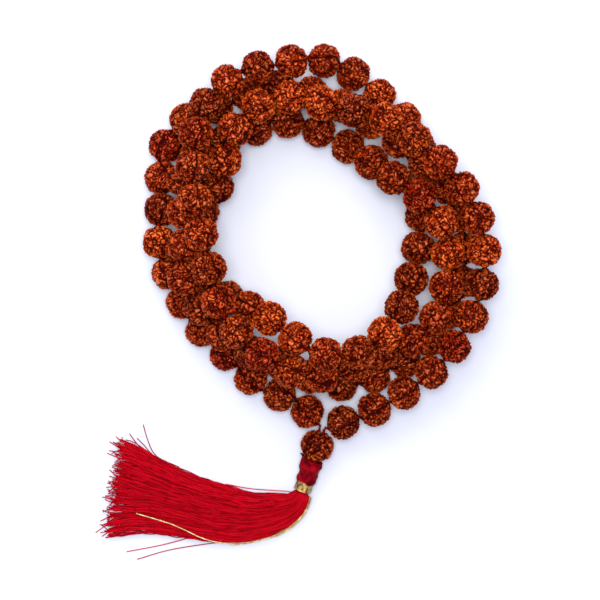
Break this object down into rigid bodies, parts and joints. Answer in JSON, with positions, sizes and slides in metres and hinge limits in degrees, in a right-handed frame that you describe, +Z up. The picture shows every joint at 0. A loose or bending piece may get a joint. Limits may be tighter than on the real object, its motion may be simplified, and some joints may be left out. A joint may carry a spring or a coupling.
{
  "type": "mala prayer beads",
  "caption": "Loop of rough seed beads strung on a cord and lying coiled, with a guru bead and a silk tassel bound in gold thread.",
  "frame": {"origin": "middle of the footprint, on the surface that the beads lie on, measured without the loose gold strand", "axes": "+Y from the tassel over the coil, the longest way; +Z up, the shortest way; +X to the right with the tassel in front"},
  "size_m": [0.0928, 0.1191, 0.0238],
  "materials": {
    "bead_seed": "rough, deeply wrinkled seed shell, oiled to a satin sheen on its ridges",
    "guru_seed": "rough, deeply wrinkled seed shell, duller than the others",
    "string": "twisted cotton string, matt",
    "satin": "satin ribbon wound on the neck, soft sheen",
    "silk": "loose silk threads with a soft sheen",
    "zari": "gold-wrapped thread, metallic"
  },
  "bodies": {
    "coil": {"stringing_cord": "string", "bead_run_017_020": "bead_seed", "bead_run_021_024": "bead_seed", "bead_run_025_028": "bead_seed", "bead_run_029_032": "bead_seed", "bead_run_033_036": "bead_seed", "bead_run_037_040": "bead_seed", "bead_run_041_044": "bead_seed", "bead_run_045_048": "bead_seed", "bead_run_049_052": "bead_seed", "bead_run_053_056": "bead_seed", "bead_run_057_060": "bead_seed", "bead_run_061_064": "bead_seed", "bead_run_065_068": "bead_seed", "bead_run_069_072": "bead_seed", "bead_run_073_076": "bead_seed", "bead_run_077_080": "bead_seed", "bead_run_081_084": "bead_seed", "bead_run_085_088": "bead_seed", "bead_run_089_092": "bead_seed"},
    "bead_001": {"bead_001": "bead_seed"},
    "bead_002": {"bead_002": "bead_seed"},
    "bead_003": {"bead_003": "bead_seed"},
    "bead_004": {"bead_004": "bead_seed"},
    "bead_005": {"bead_005": "bead_seed"},
    "bead_006": {"bead_006": "bead_seed"},
    "bead_007": {"bead_007": "bead_seed"},
    "bead_008": {"bead_008": "bead_seed"},
    "bead_009": {"bead_009": "bead_seed"},
    "bead_010": {"bead_010": "bead_seed"},
    "bead_011": {"bead_011": "bead_seed"},
    "bead_012": {"bead_012": "bead_seed"},
    "bead_013": {"bead_013": "bead_seed"},
    "bead_014": {"bead_014": "bead_seed"},
    "bead_015": {"bead_015": "bead_seed"},
    "bead_016": {"bead_016": "bead_seed"},
    "bead_093": {"bead_093": "bead_seed"},
    "bead_094": {"bead_094": "bead_seed"},
    "bead_095": {"bead_095": "bead_seed"},
    "bead_096": {"bead_096": "bead_seed"},
    "bead_097": {"bead_097": "bead_seed"},
    "bead_098": {"bead_098": "bead_seed"},
    "bead_099": {"bead_099": "bead_seed"},
    "bead_100": {"bead_100": "bead_seed"},
    "bead_101": {"bead_101": "bead_seed"},
    "bead_102": {"bead_102": "bead_seed"},
    "bead_103": {"bead_103": "bead_seed"},
    "bead_104": {"bead_104": "bead_seed"},
    "bead_105": {"bead_105": "bead_seed"},
    "bead_106": {"bead_106": "bead_seed"},
    "bead_107": {"bead_107": "bead_seed"},
    "bead_108": {"bead_108": "bead_seed"},
    "guru_bead": {"guru_bead": "guru_seed"},
    "tassel_knot": {"tassel_knot": "string"},
    "tassel_neck": {"neck_sleeve": "satin", "thread_core": "silk", "gold_band": "zari"},
    "tassel_skirt": {"tassel_skirt": "silk", "gold_strand": "zari"}
  },
  "joints": [
    {"name": "bead_001_spin", "type": "hinge", "parent": "coil", "child": "bead_001", "pos_m": [0.00954, -0.03025, 0.00571], "axis": [0.9198, 0.3364, 0.2021], "continuous": true},
    {"name": "bead_002_spin", "type": "hinge", "parent": "coil", "child": "bead_002", "pos_m": [0.01684, -0.02712, 0.00724], "axis": [0.8824, 0.436, 0.1767], "continuous": true},
    {"name": "bead_003_spin", "type": "hinge", "parent": "coil", "child": "bead_003", "pos_m": [0.02374, -0.02312, 0.00853], "axis": [0.8212, 0.5525, 0.1429], "continuous": true},
    {"name": "bead_004_spin", "type": "hinge", "parent": "coil", "child": "bead_004", "pos_m": [0.03008, -0.0182, 0.00952], "axis": [0.7426, 0.6622, 0.1006], "continuous": true},
    {"name": "bead_005_spin", "type": "hinge", "parent": "coil", "child": "bead_005", "pos_m": [0.03538, -0.0122, 0.01023], "axis": [0.5673, 0.82, 0.0753], "continuous": true},
    {"name": "bead_006_spin", "type": "hinge", "parent": "coil", "child": "bead_006", "pos_m": [0.03936, -0.00521, 0.01093], "axis": [0.4157, 0.9044, 0.0965], "continuous": true},
    {"name": "bead_007_spin", "type": "hinge", "parent": "coil", "child": "bead_007", "pos_m": [0.04186, 0.00238, 0.01185], "axis": [0.2003, 0.9709, 0.1316], "continuous": true},
    {"name": "bead_008_spin", "type": "hinge", "parent": "coil", "child": "bead_008", "pos_m": [0.04227, 0.01023, 0.01334], "axis": [-0.0982, 0.967, 0.235], "continuous": true},
    {"name": "bead_009_spin", "type": "hinge", "parent": "coil", "child": "bead_009", "pos_m": [0.04049, 0.01774, 0.01554], "axis": [-0.341, 0.8875, 0.31], "continuous": true},
    {"name": "bead_010_spin", "type": "hinge", "parent": "coil", "child": "bead_010", "pos_m": [0.03682, 0.02445, 0.01799], "axis": [-0.5666, 0.7697, 0.2942], "continuous": true},
    {"name": "bead_011_spin", "type": "hinge", "parent": "coil", "child": "bead_011", "pos_m": [0.03168, 0.03045, 0.01926], "axis": [-0.7029, 0.711, 0.0199], "continuous": true},
    {"name": "bead_012_spin", "type": "hinge", "parent": "coil", "child": "bead_012", "pos_m": [0.02573, 0.03582, 0.01856], "axis": [-0.7643, 0.6153, -0.1932], "continuous": true},
    {"name": "bead_013_spin", "type": "hinge", "parent": "coil", "child": "bead_013", "pos_m": [0.01927, 0.04047, 0.01716], "axis": [-0.8329, 0.532, -0.1527], "continuous": true},
    {"name": "bead_014_spin", "type": "hinge", "parent": "coil", "child": "bead_014", "pos_m": [0.01188, 0.04269, 0.01598], "axis": [-0.9902, 0.018, -0.1383], "continuous": true},
    {"name": "bead_015_spin", "type": "hinge", "parent": "coil", "child": "bead_015", "pos_m": [0.00443, 0.0445, 0.01418], "axis": [-0.85, 0.4286, -0.3063], "continuous": true},
    {"name": "bead_016_spin", "type": "hinge", "parent": "coil", "child": "bead_016", "pos_m": [-0.00304, 0.04602, 0.01253], "axis": [-0.9932, -0.055, -0.1023], "continuous": true},
    {"name": "bead_093_spin", "type": "hinge", "parent": "coil", "child": "bead_093", "pos_m": [0.00199, 0.04759, 0.00525], "axis": [-0.8913, 0.3518, -0.2861], "continuous": true},
    {"name": "bead_094_spin", "type": "hinge", "parent": "coil", "child": "bead_094", "pos_m": [-0.00566, 0.04922, 0.00415], "axis": [-0.9986, 0.0514, 0.0144], "continuous": true},
    {"name": "bead_095_spin", "type": "hinge", "parent": "coil", "child": "bead_095", "pos_m": [-0.01318, 0.04735, 0.0041], "axis": [-0.8571, -0.5144, -0.0273], "continuous": true},
    {"name": "bead_096_spin", "type": "hinge", "parent": "coil", "child": "bead_096", "pos_m": [-0.02046, 0.0443, 0.00499], "axis": [-0.9394, -0.237, 0.2477], "continuous": true},
    {"name": "bead_097_spin", "type": "hinge", "parent": "coil", "child": "bead_097", "pos_m": [-0.02756, 0.04116, 0.00511], "axis": [-0.8138, -0.5389, -0.2175], "continuous": true},
    {"name": "bead_098_spin", "type": "hinge", "parent": "coil", "child": "bead_098", "pos_m": [-0.03252, 0.03529, 0.00414], "axis": [-0.4114, -0.9111, -0.0238], "continuous": true},
    {"name": "bead_099_spin", "type": "hinge", "parent": "coil", "child": "bead_099", "pos_m": [-0.03351, 0.02761, 0.0041], "axis": [0.1673, -0.9858, 0.0145], "continuous": true},
    {"name": "bead_100_spin", "type": "hinge", "parent": "coil", "child": "bead_100", "pos_m": [-0.03341, 0.02002, 0.00593], "axis": [-0.1439, -0.8882, 0.4364], "continuous": true},
    {"name": "bead_101_spin", "type": "hinge", "parent": "coil", "child": "bead_101", "pos_m": [-0.03378, 0.01239, 0.0073], "axis": [0.0531, -0.9939, -0.0968], "continuous": true},
    {"name": "bead_102_spin", "type": "hinge", "parent": "coil", "child": "bead_102", "pos_m": [-0.03182, 0.00506, 0.00535], "axis": [0.4315, -0.816, -0.3846], "continuous": true},
    {"name": "bead_103_spin", "type": "hinge", "parent": "coil", "child": "bead_103", "pos_m": [-0.02838, -0.00191, 0.00412], "axis": [0.4176, -0.905, 0.0814], "continuous": true},
    {"name": "bead_104_spin", "type": "hinge", "parent": "coil", "child": "bead_104", "pos_m": [-0.02384, -0.00844, 0.0042], "axis": [0.7036, -0.7079, -0.0616], "continuous": true},
    {"name": "bead_105_spin", "type": "hinge", "parent": "coil", "child": "bead_105", "pos_m": [-0.01813, -0.01417, 0.0041], "axis": [0.705, -0.7083, 0.0359], "continuous": true},
    {"name": "bead_106_spin", "type": "hinge", "parent": "coil", "child": "bead_106", "pos_m": [-0.01236, -0.01985, 0.00421], "axis": [0.7203, -0.6936, -0.01], "continuous": true},
    {"name": "bead_107_spin", "type": "hinge", "parent": "coil", "child": "bead_107", "pos_m": [-0.00553, -0.02369, 0.00412], "axis": [0.967, -0.2545, -0.0105], "continuous": true},
    {"name": "bead_108_spin", "type": "hinge", "parent": "coil", "child": "bead_108", "pos_m": [0.00107, -0.02775, 0.00431], "axis": [0.6606, -0.7487, 0.0564], "continuous": true},
    {"name": "guru_spin", "type": "hinge", "parent": "coil", "child": "guru_bead", "pos_m": [0.00335, -0.03584, 0.0042], "axis": [0.2799, 0.9548, 0.1], "continuous": true},
    {"name": "tassel_turn", "type": "hinge", "parent": "coil", "child": "tassel_knot", "pos_m": [0.00174, -0.04106, 0.00355], "axis": [0, 0, 1], "range_deg": [-14, 15]},
    {"name": "tassel_lift", "type": "hinge", "parent": "tassel_knot", "child": "tassel_neck", "pos_m": [0.00174, -0.04106, 0.00355], "axis": [-0.9456, 0.3254, 0], "range_deg": [0, 50]},
    {"name": "skirt_sway", "type": "hinge", "parent": "tassel_neck", "child": "tassel_skirt", "pos_m": [-0.00019, -0.04666, 0.00259], "axis": [0, 0, 1], "range_deg": [-14, 20]}
  ]
}
